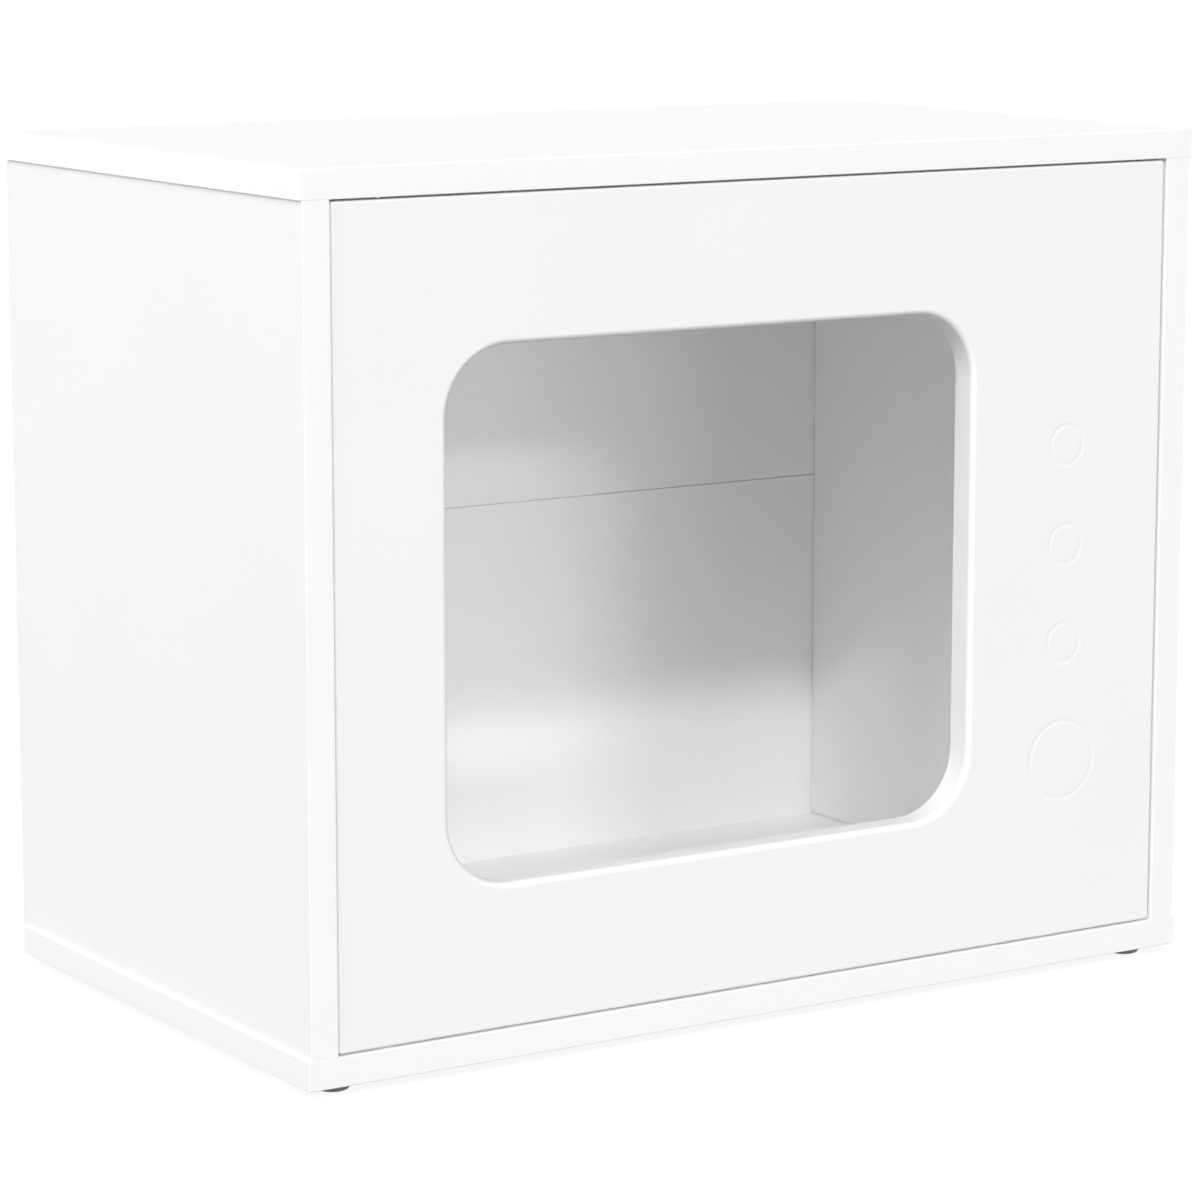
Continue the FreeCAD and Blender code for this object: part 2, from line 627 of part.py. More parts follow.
def dowels():
    length = f"({BLIND_DEPTH} + dowel_grip)"
    radius = "(dowel_diameter / 2)"
    waist = "(dowel_diameter / 2 - dowel_chamfer)"
    outline = [("0", "0"), (waist, "0"), (radius, "dowel_chamfer"), (radius, f"({length} - dowel_chamfer)"),
               (waist, length), ("0", length)]
    dowel = turned_body("dowel", outline, kept=False)
    spots = []
    for x in SIDE_COLUMNS:
        for y in (FRONT_DOWEL, REAR_DOWEL):
            spots.append((x, f"{FRONT} + {y}", f"{FLOOR} - {BLIND_DEPTH}", UPRIGHT))
            spots.append((x, f"{FRONT} + {y}", f"{CEILING} + {BLIND_DEPTH}", UPSIDE_DOWN))
    new_group("dowels", dowel, spots)


def screw_outline(radius, grip, head_radius, head_height):
    """Half the section of a pointed fastener with a flat head: point at zero, head above its grip."""
    face = f"({grip} + {head_height})"
    return [("0", "0"), (radius, f"(2 * {radius})"), (radius, grip), (head_radius, grip), (head_radius, face),
            ("0", face)]


def back_nails():
    grip = "(nail_grip + back_thickness)"
    outline = screw_outline("(nail_diameter / 2)", grip, "(nail_head / 2)", "nail_head_height")
    nail = turned_body("back_nail", outline, kept=False)
    tip = f"{REAR} - nail_grip"
    spots = []
    for x in BOARD_NAILS:
        for z in ("(foot_height + board_thickness / 2)", f"({CEILING} + board_thickness / 2)"):
            spots.append((f"{x} - cabinet_width / 2", tip, z, HEAD_TO_REAR))
    for x in SIDE_COLUMNS:
        for z in SIDE_NAILS:
            spots.append((x, tip, f"{FLOOR} + {z}", HEAD_TO_REAR))
    new_group("back_nails", nail, spots)


def feet():
    """Round glides under the bottom board, each with a screw sunk in its underside."""
    recess = "(foot_screw_head / 2 + foot_round)"
    hole = f"({FOOT_HOLE} / 2)"
    rim = "(foot_diameter / 2)"
    outline = [(recess, "0"), (f"({rim} - foot_round)", "0"), (rim, "foot_round"), (rim, "foot_height"),
               (hole, "foot_height"), (hole, "foot_recess_depth"), (recess, "foot_recess_depth")]
    grip = f"({FOOT_GRIP} + foot_height - foot_recess_depth)"
    pointed = screw_outline("(foot_screw / 2)", grip, "(foot_screw_head / 2)", "foot_screw_head_height")
    screw = turned_body("foot_screw", pointed, kept=False)
    side = "(cabinet_width / 2 - foot_from_side)"
    spots = []
    for row, y in (("front", f"{FRONT} + foot_from_edge"), ("rear", f"{REAR} - foot_from_edge")):
        for hand, x in (("left", f"-{side}"), ("right", side)):
            place(turned_body(f"foot_{row}_{hand}", outline), x, y, "0")
            spots.append((x, y, f"foot_height + {FOOT_GRIP}", UPSIDE_DOWN))
    new_group("foot_screws", screw, spots)


def block(label, width, length, height, kept=True):
    """A plain block from the corner of its own frame."""
    body = new_body(label, kept)
    sketch = new_sketch(body, "outline")
    draw_rectangle(sketch, width, length)
    pad(body, sketch, height)
    return body


def magnetic_catch():
    """A catch on the right wall: a lugged housing with a magnet between two steel plates."""
    housing = block("catch_housing", "catch_depth", "catch_length", "catch_lug_height")
    body_sketch = new_sketch(housing, "middle")
    draw_rectangle(body_sketch, "catch_depth", "(catch_length - 2 * catch_lug)", "0", "catch_lug")
    pad(housing, body_sketch, "catch_height")
    cavity = new_sketch(housing, "cavity", "YZ_Plane", out="catch_depth")
    stack = "(magnet_thickness + 2 * pole_thickness + 2 * magnet_gap)"
    room = "(magnet_length + 2 * magnet_gap)"
    draw_rectangle(cavity, room, stack, f"(catch_length / 2 - {room} / 2)", f"({MAGNET_LEVEL} - {stack} / 2)")
    pocket(housing, cavity, "magnet_width")
    lugs = [("(catch_depth / 2)", y) for y in ("(catch_lug / 2)", "(catch_length - catch_lug / 2)")]
    drill(housing, "screw_holes", lugs, SMALL_SCREW_HOLE, "catch_lug_height", out="catch_lug_height")
    place(housing, SIDE_INNER, CATCH_REAR, f"{MIDDLE_Z} - catch_length / 2", ON_RIGHT_WALL)
    low = f"{MIDDLE_Z} - magnet_length / 2"
    rear = f"{CATCH_FRONT} + magnet_width"
    magnet = block("catch_magnet", "magnet_width", "magnet_length", "magnet_thickness")
    place(magnet, f"{SIDE_INNER} - {MAGNET_LEVEL} + magnet_thickness / 2", rear, low, ON_RIGHT_WALL)
    plate_depth = "(magnet_width + pole_reach)"
    plate = block("catch_pole_plate", plate_depth, "magnet_length", "pole_thickness", kept=False)
    outer = f"{SIDE_INNER} - {MAGNET_LEVEL} + magnet_thickness / 2 + pole_thickness"
    inner = f"{SIDE_INNER} - {MAGNET_LEVEL} - magnet_thickness / 2"
    new_group("catch_pole_plates", plate, [(x, rear, low, ON_RIGHT_WALL) for x in (outer, inner)])
    grip = f"({SMALL_SCREW_GRIP} + catch_lug_height)"
    outline = screw_outline("(small_screw / 2)", grip, "(small_screw_head / 2)", "small_screw_head_height")
    screw = turned_body("catch_screw", outline, kept=False)
    tip = f"{SIDE_INNER} + {SMALL_SCREW_GRIP}"
    new_group("catch_screws", screw, [(tip, CATCH_MIDDLE, z, HEAD_TO_LEFT) for z in CATCH_SCREW_LEVELS])


def door_strike():
    """The steel plate on the door's inner face that the magnet holds, with its countersunk screw."""
    plate = block("strike_plate", "strike_width", "strike_length", "strike_thickness")
    hole = f"({SMALL_SCREW_HOLE} / 2)"
    sink = "(strike_sink_depth + small_screw / 2 + seat_gap)"
    countersink = [("0", "0"), (hole, "0"), (hole, "(strike_thickness - strike_sink_depth)"),
                   (sink, "strike_thickness"), ("0", "strike_thickness")]
    turned_cut(plate, "countersink", "strike_width / 2", "strike_length / 2", countersink)
    place(plate, f"{SIDE_INNER} - {MAGNET_LEVEL} + strike_width / 2", DOOR_INNER,
          f"{MIDDLE_Z} - strike_length / 2", ON_DOOR_BACK)
    radius = "(small_screw / 2)"
    grip = f"({STRIKE_SCREW_GRIP} + strike_thickness - strike_sink_depth)"
    face = f"({grip} + strike_sink_depth)"
    outline = [("0", "0"), (radius, f"(2 * {radius})"), (radius, grip),
               (f"({radius} + strike_sink_depth)", face), ("0", face)]
    screw = turned_body("strike_screw", outline)
    tip = f"{DOOR_INNER} - {STRIKE_SCREW_GRIP}"
    place(screw, f"{SIDE_INNER} - {MAGNET_LEVEL}", tip, MIDDLE_Z, HEAD_TO_REAR)


def write_pieces():
    """Stops on anything that failed, then writes each piece to a file of its own."""
    doc.recompute()
    for item in doc.Objects:
        if "Invalid" in item.State or "Error" in item.State:
            raise RuntimeError(f"{item.Name} failed: {item.State}")
    for piece in pieces:
        if piece.Shape.isNull() or not piece.Shape.isValid():
            raise RuntimeError(f"{piece.Label} has no valid shape")
    os.makedirs("parts", exist_ok=True)
    for piece in pieces:
        piece.Shape.exportStep(f"parts/{piece.Label}.step")


bottom_panel()
top_panel()
left_side_panel()
right_side_panel()
back_panels()
door_panel()
pivot_hinge()
cam_bolts()
cam_discs()
base_screws()
dowels()
back_nails()
feet()
magnetic_catch()
door_strike()
write_pieces()
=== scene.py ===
# The looks of a white flat-pack cat house, built round its packed construction model.
# Metres in the model's own frame: X runs along the width, -Y is the front with the door, Z is up.
import json
from math import pi, radians, tan

import bpy
from mathutils import Color, Euler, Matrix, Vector


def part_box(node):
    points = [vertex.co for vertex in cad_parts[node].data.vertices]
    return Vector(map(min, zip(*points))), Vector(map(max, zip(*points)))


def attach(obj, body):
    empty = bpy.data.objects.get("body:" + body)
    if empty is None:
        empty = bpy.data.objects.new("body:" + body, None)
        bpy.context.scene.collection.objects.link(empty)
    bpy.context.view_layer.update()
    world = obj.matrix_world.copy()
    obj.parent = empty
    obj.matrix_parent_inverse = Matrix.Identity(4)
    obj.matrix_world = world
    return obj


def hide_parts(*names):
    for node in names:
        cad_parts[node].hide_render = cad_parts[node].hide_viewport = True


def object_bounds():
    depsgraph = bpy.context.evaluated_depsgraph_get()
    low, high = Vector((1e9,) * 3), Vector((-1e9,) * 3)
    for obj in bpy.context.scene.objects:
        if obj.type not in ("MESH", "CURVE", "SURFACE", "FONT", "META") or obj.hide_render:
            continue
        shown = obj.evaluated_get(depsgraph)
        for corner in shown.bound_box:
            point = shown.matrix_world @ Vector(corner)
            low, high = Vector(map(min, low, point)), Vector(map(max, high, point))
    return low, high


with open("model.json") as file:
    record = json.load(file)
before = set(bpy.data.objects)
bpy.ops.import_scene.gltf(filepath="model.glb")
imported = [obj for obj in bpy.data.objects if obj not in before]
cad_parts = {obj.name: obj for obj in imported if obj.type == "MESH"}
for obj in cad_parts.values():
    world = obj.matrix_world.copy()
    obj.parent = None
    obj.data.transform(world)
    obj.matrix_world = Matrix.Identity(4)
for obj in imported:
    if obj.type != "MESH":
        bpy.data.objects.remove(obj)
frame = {"nodes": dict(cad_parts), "record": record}
cad_low, cad_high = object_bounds()

MM = 0.001
HAIR = 0.02 * MM
QUARTER_TURN = pi / 2
SMOOTH_BELOW = radians(12)
ROUND_SIDES = 48
ARRIS_STEPS = 2
CORNER_STEPS = 3
DOME_STEPS = 6
FACING_SHARE = 0.5
WHITE = (1, 1, 1, 1)
X, Y, Z = range(3)
LEFTWARDS = Vector((-1, 0, 0))
FORWARDS = Vector((0, -1, 0))
BACKWARDS = Vector((0, 1, 0))
DOWNWARDS = Vector((0, 0, -1))
UPWARDS = Vector((0, 0, 1))

# boards
BAND_ROUND = 0.5 * MM
BAND_STEPS = 4
BACK_ARRIS = 0.3 * MM
JOINT_WIDTH = 0.6 * MM
JOINT_DEPTH = 1.9 * MM
JOINT_ARRIS = 0.9 * MM
CORNER_JOINT = 0.5 * MM

# door
DOOR_ROUND = 1.5 * MM
DOOR_STEPS = 8
HINGE_STILE = 62.5 * MM
ENTRANCE_WIDTH = 317 * MM
ENTRANCE_HEIGHT = 267 * MM
ENTRANCE_RADIUS = 35 * MM
ENTRANCE_STEPS = 24
ENTRANCE_ROUND = 3 * MM
GROOVE_WIDTH = 3.6 * MM
GROOVE_DEPTH = 0.15 * MM
RING_SIDES = 96
V_SIDES = 4
SMALL_RING = 21 * MM
SMALL_RINGS = 3
LARGE_RING = 42 * MM
SMALL_RING_PITCH = 53 * MM
LARGE_RING_PITCH = 63.5 * MM
TOP_RING_RISE = 59 * MM
PIVOT_BORE = 7.04 * MM

# fittings
CAM_POCKET = 15 * MM
CAM_POCKET_DEPTH = 12.5 * MM
BASE_SCREW_NECK = 7.04 * MM
BASE_SCREW_HEAD = 10.04 * MM
FOOT_ROUND = 2 * MM
FOOT_STEPS = 6
FOOT_RECESS = 8.5 * MM
FOOT_RECESS_DEPTH = 2.8 * MM
LUG_LENGTH = 11 * MM
LUG_HEIGHT = 3 * MM
HOUSING_ROUND = 0.8 * MM
MAGNET_BAY = Vector((7.2 * MM, 9 * MM, 28.2 * MM))
MAGNET_BAY_INSET = 1.5 * MM
STRIKE_CORNER = 2 * MM
STRIKE_ARRIS = 0.3 * MM
STRIKE_SINK = 1.2 * MM
SINK_CLEARANCE = 0.05 * MM
POINT_LENGTH = 3 * MM
POINT_SHARE = 0.06
CROSS_LENGTH_SHARE = 1.1
CROSS_WIDTH_SHARE = 0.26
CROSS_DEPTH = 0.8 * MM
OVERRUN = 1 * MM

# nails and small screws: the sizes of heads and shanks are radii
NAIL_HEAD = 2 * MM
NAIL_HEAD_HEIGHT = 0.8 * MM
NAIL_SHANK = 0.8 * MM
NAIL_DOME = 0.5 * MM
FOOT_SCREW_HEAD = 3.25 * MM
FOOT_SCREW_HEAD_HEIGHT = 2 * MM
FOOT_SCREW_SHANK = 1.5 * MM
FOOT_SCREW_DOME = 0.8 * MM
CATCH_SCREW_HEAD = 3 * MM
CATCH_SCREW_HEAD_HEIGHT = 1 * MM
CATCH_SCREW_SHANK = 1.5 * MM
CATCH_SCREW_DOME = 0.5 * MM

# finishes
TINT_LOW_SHARE = 0.3
TINT_HIGH_SHARE = 0.7
FIBRE_STRETCH_SHARE = 0.25
GRAIN_STRETCH_SHARE = 0.08
DRAWN_STRETCH_SHARE = 0.12
NYLON_SCATTER = (1.5 * MM, 1.4 * MM, 1.2 * MM)

# camera and studio: sensor and lens in millimetres, angles in degrees, the rest in metres
SENSOR = 36
LENS = 130.1
CAMERA_PLACE = Vector((-1.2414, -1.9399, 0.5974))
CAMERA_AZIMUTH = 32.62
CAMERA_PITCH = 9.847
FILL_LIGHT = 0.41
# white walls pass light to and fro many times
WALL_BOUNCES = 12
FLOOR_SIZE = 80
FLOOR_COLOUR = "707070"
FLOOR_LIFT = 0.905
LAMP_DISTANCE = 30
SOFTBOXES = {
    "key": {"azimuth": -25.6, "elevation": 36.5, "width": 10, "height": 3.5, "light": 0.365},
    "strip": {"azimuth": 3.6, "elevation": 18, "width": 11, "height": 2.3, "light": 0.121},
    "low_front": {"azimuth": 3.5, "elevation": 3, "width": 30, "height": 6, "light": 0.205},
    "left": {"azimuth": -71, "elevation": 34, "width": 26, "height": 30, "light": 0.475},
    "side": {"azimuth": -95, "elevation": 13, "width": 60, "height": 24, "light": 0.12},
    "rear_left": {"azimuth": -150, "elevation": 5, "width": 40, "height": 10, "light": 0.2},
    "rear_right": {"azimuth": 112, "elevation": 5, "width": 40, "height": 10, "light": 0.55},
}

BODIES = {node: body for body, nodes in frame["record"]["behaviour"]["bodies"].items() for node in nodes}


# Materials


def linear(written):
    """A written sRGB colour, such as f4f4f2, as linear light."""
    channels = [int(written[at:at + 2], 16) / 255 for at in (0, 2, 4)]
    return (*Color(channels).from_srgb_to_scene_linear(), 1)


def per(size):
    """The scale of a pattern whose grain has that size in millimetres."""
    return 1 / (size * MM)


def add(tree, kind, settings=None, links=None):
    """Adds a node, with settings for its sockets or properties and links into its sockets."""
    node = tree.nodes.new(kind)
    for key, setting in (settings or {}).items():
        if isinstance(key, int) or key in node.inputs:
            node.inputs[key].default_value = setting
        else:
            setattr(node, key, setting)
    for key, source in (links or {}).items():
        tree.links.new(source, node.inputs[key])
    return node


def new_material(name, settings):
    """A material with one principled surface, and the object's own coordinates for its patterns."""
    material = bpy.data.materials.new(name)
    material.use_nodes = True
    tree = material.node_tree
    surface = tree.nodes["Principled BSDF"]
    for key, setting in settings.items():
        surface.inputs[key].default_value = setting
    place = add(tree, "ShaderNodeTexCoord").outputs["Object"]
    return material, tree, surface, place


def tint(tree, surface, pattern, dark, light):
    """Colours the surface between two written colours, as a pattern goes from its low to its high values."""
    ramp = add(tree, "ShaderNodeValToRGB", links={"Fac": pattern})
    ramp.color_ramp.elements[0].position = TINT_LOW_SHARE
    ramp.color_ramp.elements[0].color = linear(dark)
    ramp.color_ramp.elements[1].position = TINT_HIGH_SHARE
    ramp.color_ramp.elements[1].color = linear(light)
    tree.links.new(ramp.outputs["Color"], surface.inputs["Base Color"])


def sheen(tree, surface, pattern, low, high):
    """Lets the surface's roughness follow a pattern."""
    spread = add(tree, "ShaderNodeMapRange", {"To Min": low, "To Max": high}, {"Value": pattern})
    tree.links.new(spread.outputs["Result"], surface.inputs["Roughness"])


def relief(tree, surface, pattern, height):
    """Raises the surface by a pattern, up to a height in millimetres."""
    bump = add(tree, "ShaderNodeBump", {"Strength": 1.0, "Distance": height * MM}, {"Height": pattern})
    tree.links.new(bump.outputs["Normal"], surface.inputs["Normal"])


def white_melamine():
    """Melamine paper pressed on particle board: hard, satin, with the faint pearl of the press plate."""
    material, tree, surface, place = new_material("white_melamine", {"IOR": 1.46})
    # the pearl is drawn coarser than it is, so that it shows
    pearl = add(tree, "ShaderNodeTexNoise", {"Scale": per(size=1.4), "Detail": 2}, {"Vector": place})
    cloud = add(tree, "ShaderNodeTexNoise", {"Scale": per(size=90), "Detail": 1}, {"Vector": place})
    tint(tree, surface, cloud.outputs["Fac"], dark="f6f6f6", light="f7f7f7")
    sheen(tree, surface, pearl.outputs["Fac"], low=0.5, high=0.6)
    relief(tree, surface, pearl.outputs["Fac"], height=0.004)
    return material


def white_edge_band():
    """Thin plastic edging glued round the boards: a touch smoother, with the fine grain of its rolls."""
    material, tree, surface, place = new_material("white_edge_band", {"IOR": 1.54})
    grain = add(tree, "ShaderNodeTexNoise", {"Scale": per(size=2.2), "Detail": 1}, {"Vector": place})
    tint(tree, surface, grain.outputs["Fac"], dark="f7f7f7", light="f8f8f8")
    sheen(tree, surface, grain.outputs["Fac"], low=0.36, high=0.44)
    relief(tree, surface, grain.outputs["Fac"], height=0.003)
    return material


def white_door_foil():
    """Foil drawn over fibreboard: satin, a shade less white than the boards, with a slight orange peel."""
    material, tree, surface, place = new_material("white_door_foil", {"IOR": 1.53})
    peel = add(tree, "ShaderNodeTexNoise", {"Scale": per(size=3.2), "Detail": 2}, {"Vector": place})
    cloud = add(tree, "ShaderNodeTexNoise", {"Scale": per(size=120), "Detail": 1}, {"Vector": place})
    tint(tree, surface, cloud.outputs["Fac"], dark="f3f3f3", light="f4f4f4")
    sheen(tree, surface, peel.outputs["Fac"], low=0.38, high=0.46)
    relief(tree, surface, peel.outputs["Fac"], height=0.006)
    return material


def white_hardboard():
    """Lacquered hardboard: matt, with the pressed fibres just showing through the coat."""
    material, tree, surface, place = new_material("white_hardboard", {"IOR": 1.5})
    along = add(tree, "ShaderNodeMapping", {"Scale": (FIBRE_STRETCH_SHARE, 1, 1)}, {"Vector": place})
    fibre = add(tree, "ShaderNodeTexNoise", {"Scale": per(size=1.1), "Detail": 4},
                {"Vector": along.outputs["Vector"]})
    tint(tree, surface, fibre.outputs["Fac"], dark="f5f5f4", light="f7f7f6")
    sheen(tree, surface, fibre.outputs["Fac"], low=0.55, high=0.66)
    relief(tree, surface, fibre.outputs["Fac"], height=0.006)
    return material


def turned_beech():
    """Beech dowel: pale brown with darker growth lines along its length."""
    material, tree, surface, place = new_material("turned_beech", {"IOR": 1.5})
    along = add(tree, "ShaderNodeMapping", {"Scale": (1, 1, GRAIN_STRETCH_SHARE)}, {"Vector": place})
    grain = add(tree, "ShaderNodeTexNoise", {"Scale": per(size=1.5), "Detail": 4},
                {"Vector": along.outputs["Vector"]})
    tint(tree, surface, grain.outputs["Fac"], dark="b98f63", light="d9b98c")
    sheen(tree, surface, grain.outputs["Fac"], low=0.55, high=0.7)
    relief(tree, surface, grain.outputs["Fac"], height=0.05)
    return material


def cast_zinc():
    """Die-cast zinc: dull grey metal with a grainy skin."""
    material, tree, surface, place = new_material("cast_zinc", {"Metallic": 1.0})
    grain = add(tree, "ShaderNodeTexNoise", {"Scale": per(size=0.6), "Detail": 3}, {"Vector": place})
    tint(tree, surface, grain.outputs["Fac"], dark="9fa2a5", light="b9bcbe")
    sheen(tree, surface, grain.outputs["Fac"], low=0.38, high=0.55)
    relief(tree, surface, grain.outputs["Fac"], height=0.02)
    return material


def plated_steel():
    """Zinc-plated steel: bright, drawn metal with fine scratches."""
    material, tree, surface, place = new_material("plated_steel", {"Metallic": 1.0})
    stretched = add(tree, "ShaderNodeMapping", {"Scale": (1, 1, DRAWN_STRETCH_SHARE)}, {"Vector": place})
    drawn = add(tree, "ShaderNodeTexNoise", {"Scale": per(size=0.5), "Detail": 3},
                {"Vector": stretched.outputs["Vector"]})
    tint(tree, surface, drawn.outputs["Fac"], dark="b4b7ba", light="cfd2d4")
    sheen(tree, surface, drawn.outputs["Fac"], low=0.22, high=0.36)
    relief(tree, surface, drawn.outputs["Fac"], height=0.006)
    return material


def natural_nylon():
    """Unpigmented nylon: milky and slightly translucent, with a waxy moulded skin."""
    settings = {"IOR": 1.53, "Subsurface Weight": 0.25, "Subsurface Radius": NYLON_SCATTER}
    material, tree, surface, place = new_material("natural_nylon", settings)
    grain = add(tree, "ShaderNodeTexNoise", {"Scale": per(size=0.8), "Detail": 2}, {"Vector": place})
    tint(tree, surface, grain.outputs["Fac"], dark="e8e6df", light="efeee8")
    sheen(tree, surface, grain.outputs["Fac"], low=0.4, high=0.5)
    relief(tree, surface, grain.outputs["Fac"], height=0.005)
    return material


def white_abs():
    """Moulded ABS of the catch: white with a fine spark-eroded grain."""
    material, tree, surface, place = new_material("white_abs", {"IOR": 1.54})
    grain = add(tree, "ShaderNodeTexNoise", {"Scale": per(size=0.5), "Detail": 2}, {"Vector": place})
    tint(tree, surface, grain.outputs["Fac"], dark="ececea", light="f1f1ef")
    sheen(tree, surface, grain.outputs["Fac"], low=0.42, high=0.55)
    relief(tree, surface, grain.outputs["Fac"], height=0.01)
    return material


def grey_polypropylene():
    """Moulded polypropylene of the glides: mid grey, waxy and faintly grained."""
    material, tree, surface, place = new_material("grey_polypropylene", {"IOR": 1.49})
    grain = add(tree, "ShaderNodeTexNoise", {"Scale": per(size=0.6), "Detail": 3}, {"Vector": place})
    tint(tree, surface, grain.outputs["Fac"], dark="7a7b77", light="868783")
    sheen(tree, surface, grain.outputs["Fac"], low=0.45, high=0.6)
    relief(tree, surface, grain.outputs["Fac"], height=0.015)
    return material


def sintered_ferrite():
    """Ferrite magnet: nearly black ceramic, ground flat, with pores."""
    material, tree, surface, place = new_material("sintered_ferrite", {"IOR": 2.2})
    pores = add(tree, "ShaderNodeTexNoise", {"Scale": per(size=0.4), "Detail": 4}, {"Vector": place})
    tint(tree, surface, pores.outputs["Fac"], dark="1f2022", light="303236")
    sheen(tree, surface, pores.outputs["Fac"], low=0.45, high=0.65)
    relief(tree, surface, pores.outputs["Fac"], height=0.02)
    return material


MELAMINE = white_melamine()
BAND = white_edge_band()
FOIL = white_door_foil()
HARDBOARD = white_hardboard()
STEEL = plated_steel()
ABS = white_abs()
GLIDE = grey_polypropylene()
FITTINGS = {
    "dowels": turned_beech(),
    "cam_discs": cast_zinc(),
    "cam_bolts": STEEL,
    "base_screws": STEEL,
    "upper_pivot_pin": STEEL,
    "lower_pivot_pin": STEEL,
    "catch_pole_plates": STEEL,
    "catch_magnet": sintered_ferrite(),
}
nylon = natural_nylon()
for bush in ("upper_panel_bush", "lower_panel_bush", "upper_door_bush", "lower_door_bush", "thrust_washer"):
    FITTINGS[bush] = nylon


# Ways of working


def only(piece):
    """Makes one piece the active one, with nothing else selected."""
    bpy.ops.object.select_all(action="DESELECT")
    piece.select_set(True)
    bpy.context.view_layer.objects.active = piece


def settle(name):
    """Names the new primitive and puts its place, turn and scale into its mesh."""
    piece = bpy.context.active_object
    piece.name = name
    bpy.ops.object.transform_apply(location=True, rotation=True, scale=True)
    return piece


def block(name, low, high):
    """A cube stretched between two corners."""
    bpy.ops.object.select_all(action="DESELECT")
    bpy.ops.mesh.primitive_cube_add(size=1, location=(low + high) / 2)
    bpy.context.active_object.scale = high - low
    return settle(name)


def rod(name, start, end, start_radius, end_radius):
    """A cylinder or cone from one point to another."""
    bpy.ops.object.select_all(action="DESELECT")
    line = end - start
    turn = line.to_track_quat("Z", "Y").to_euler()
    bpy.ops.mesh.primitive_cone_add(vertices=ROUND_SIDES, radius1=start_radius, radius2=end_radius,
                                    depth=line.length, location=(start + end) / 2, rotation=turn)
    return settle(name)


def edit(piece, kind, wanted):
    """Opens a piece in edit mode, with the edges or polygons selected whose corners pass a test."""
    only(piece)
    mesh = piece.data
    for parts in (mesh.vertices, mesh.edges, mesh.polygons):
        parts.foreach_set("select", [False] * len(parts))
    bpy.context.tool_settings.mesh_select_mode = (False, kind == "edges", kind == "polygons")
    for part in getattr(mesh, kind):
        part.select = wanted([mesh.vertices[index].co for index in part.vertices])
    bpy.ops.object.mode_set(mode="EDIT")


def close_edit():
    """Goes back to object mode."""
    bpy.ops.object.mode_set(mode="OBJECT")


def round_edges(piece, wanted, radius, steps, coat=-1):
    """Rounds the edges that a test wants; coat is the index of the material that the rounding takes."""
    edit(piece, "edges", wanted)
    bpy.ops.mesh.bevel(offset=radius, segments=steps, affect="EDGES", material=coat)
    close_edit()


def cut(piece, cutter):
    """Cuts one shape out of a piece and removes the cutter."""
    only(piece)
    change = piece.modifiers.new("cut", "BOOLEAN")
    change.operation = "DIFFERENCE"
    change.solver = "EXACT"
    change.object = cutter
    bpy.ops.object.modifier_apply(modifier=change.name)
    bpy.data.objects.remove(cutter)


def countersink(piece, face, inwards, head, neck):
    """A seat for a screw, a cone of 45 degrees that narrows from the head's radius to the neck's."""
    cut(piece, rod("countersink", face - inwards * OVERRUN, face + inwards * (head - neck + OVERRUN),
                   head + OVERRUN, neck - OVERRUN))


def level(points, axis, height):
    """Whether all points lie at one height along an axis."""
    return all(abs(point[axis] - height) < HAIR for point in points)


def runs(points, axis):
    """Whether an edge runs along an axis."""
    line = points[1] - points[0]
    return abs(abs(line.normalized()[axis]) - 1) < HAIR


def finish(piece, node):
    """Shades a piece with crisp creases, lets it ride on its node's body and stand for that node."""
    only(piece)
    bpy.ops.object.shade_smooth_by_angle(angle=SMOOTH_BELOW)
    change = piece.modifiers.new("flat faces lead", "WEIGHTED_NORMAL")
    change.keep_sharp = True
    bpy.ops.object.modifier_apply(modifier=change.name)
    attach(piece, BODIES[node])
    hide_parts(node)


def solids_of(node):
    """The boxes of a node's separate solids."""
    copy = frame["nodes"][node].copy()
    copy.data = copy.data.copy()
    bpy.context.scene.collection.objects.link(copy)
    only(copy)
    bpy.ops.object.mode_set(mode="EDIT")
    bpy.ops.mesh.select_all(action="SELECT")
    bpy.ops.mesh.remove_doubles(threshold=HAIR)
    bpy.ops.mesh.separate(type="LOOSE")
    close_edit()
    boxes = []
    for solid in list(bpy.context.selected_objects):
        corners = [vertex.co for vertex in solid.data.vertices]
        low = Vector(min(corner[axis] for corner in corners) for axis in (X, Y, Z))
        high = Vector(max(corner[axis] for corner in corners) for axis in (X, Y, Z))
        boxes.append((low, high))
        bpy.data.objects.remove(solid)
    return sorted(boxes, key=lambda box: tuple(box[0]))


def ends_of(node, direction):
    """The middle of each solid's end along a direction, for all solids of a node."""
    places = []
    for low, high in solids_of(node):
        half = (high - low) / 2
        places.append((low + high) / 2 + Vector(way * size for way, size in zip(direction, half)))
    return places


# Boards


def banded_board(name, thin_axis, rounded):
    """A melamine board with edging round its rim, whose arrises are rounded where a test wants."""
    low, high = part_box(name)
    piece = block(name + "_board", low, high)
    piece.data.materials.append(MELAMINE)
    piece.data.materials.append(BAND)
    for side in piece.data.polygons:
        side.material_index = 0 if abs(side.normal[thin_axis]) > FACING_SHARE else 1
    round_edges(piece, rounded, BAND_ROUND, BAND_STEPS, coat=1)
    return piece


def top_board():
    """The top, banded all round."""
    piece = banded_board("top_panel", Z, lambda ends: True)
    finish(piece, "top_panel")


def bottom_board():
    """The bottom, banded all round, with seats for the screws that come from below."""
    piece = banded_board("bottom_panel", Z, lambda ends: True)
    low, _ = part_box("bottom_panel")
    for place in ends_of("base_screws", DOWNWARDS):
        sunk = Vector((place.x, place.y, low.z))
        countersink(piece, sunk, UPWARDS, BASE_SCREW_HEAD / 2, BASE_SCREW_NECK / 2)
    finish(piece, "bottom_panel")


